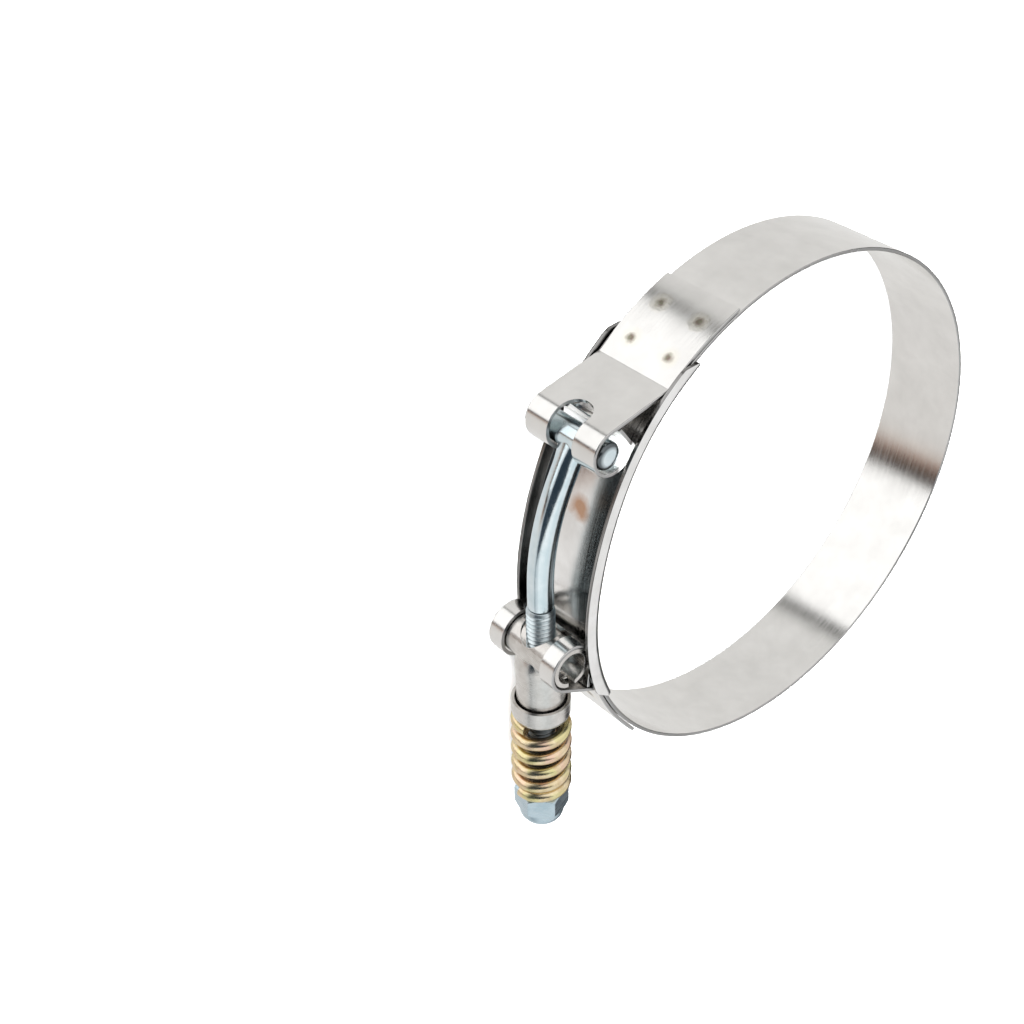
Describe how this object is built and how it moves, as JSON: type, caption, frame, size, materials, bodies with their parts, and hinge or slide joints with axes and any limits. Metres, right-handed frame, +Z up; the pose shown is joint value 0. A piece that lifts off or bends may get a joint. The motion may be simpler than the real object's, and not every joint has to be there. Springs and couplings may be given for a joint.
{
  "type": "t bolt clamp",
  "caption": "Spring-loaded T-bolt hose clamp: a strip steel ring with folded loops, a bridge over its gap, a bent T-bolt, a trunnion, a coil spring and a lock nut.",
  "frame": {"origin": "middle of the base of the bounding box, with the clamp lying on its side", "axes": "+Z up, along the ring's axis; -Y points out through the ring's gap; the nut is at +X and the T-head at -X"},
  "size_m": [0.1284, 0.1204, 0.0211],
  "materials": {
    "band_steel": "satin rolled strip",
    "polished_steel": "bright rolled",
    "zinc_plate": "pale blue zinc plate",
    "yellow_zinc": "yellow zinc plate",
    "nylon": "matt"
  },
  "bodies": {
    "ring": {"band": "band_steel", "head_loop": "band_steel", "trunnion_loop": "band_steel", "bridge": "polished_steel"},
    "bolt": {"t_bolt": "zinc_plate"},
    "trunnion": {"trunnion": "polished_steel", "spring_cup": "polished_steel"},
    "spring": {"spring": "yellow_zinc"},
    "nut": {"nut": "zinc_plate", "nut_insert": "nylon"}
  },
  "joints": [
    {"name": "bolt_swivel", "type": "hinge", "parent": "ring", "child": "bolt", "pos_m": [-0.02846, -0.05473, 0.01055], "axis": [0, 0, 1], "range_deg": [-0.5, 0.5]},
    {"name": "trunnion_rock", "type": "hinge", "parent": "ring", "child": "trunnion", "pos_m": [0.01785, -0.05217, 0.01055], "axis": [0, 0, 1], "range_deg": [-0.5, 0.5]},
    {"name": "spring_slide", "type": "slide", "parent": "bolt", "child": "spring", "axis": [-0.9685, -0.249, 0], "range_m": [0, 0.004], "deforming": ["spring"]},
    {"name": "nut_turn", "type": "hinge", "parent": "spring", "child": "nut", "pos_m": [0.01785, -0.05217, 0.01055], "axis": [-0.9685, -0.249, 0], "range_deg": [0, 1440]}
  ],
  "couplings": [
    {"joint": "trunnion_rock", "follows": "bolt_swivel", "ratio": 1},
    {"joint": "nut_turn", "follows": "spring_slide", "rad_per_m": 6283.2}
  ]
}
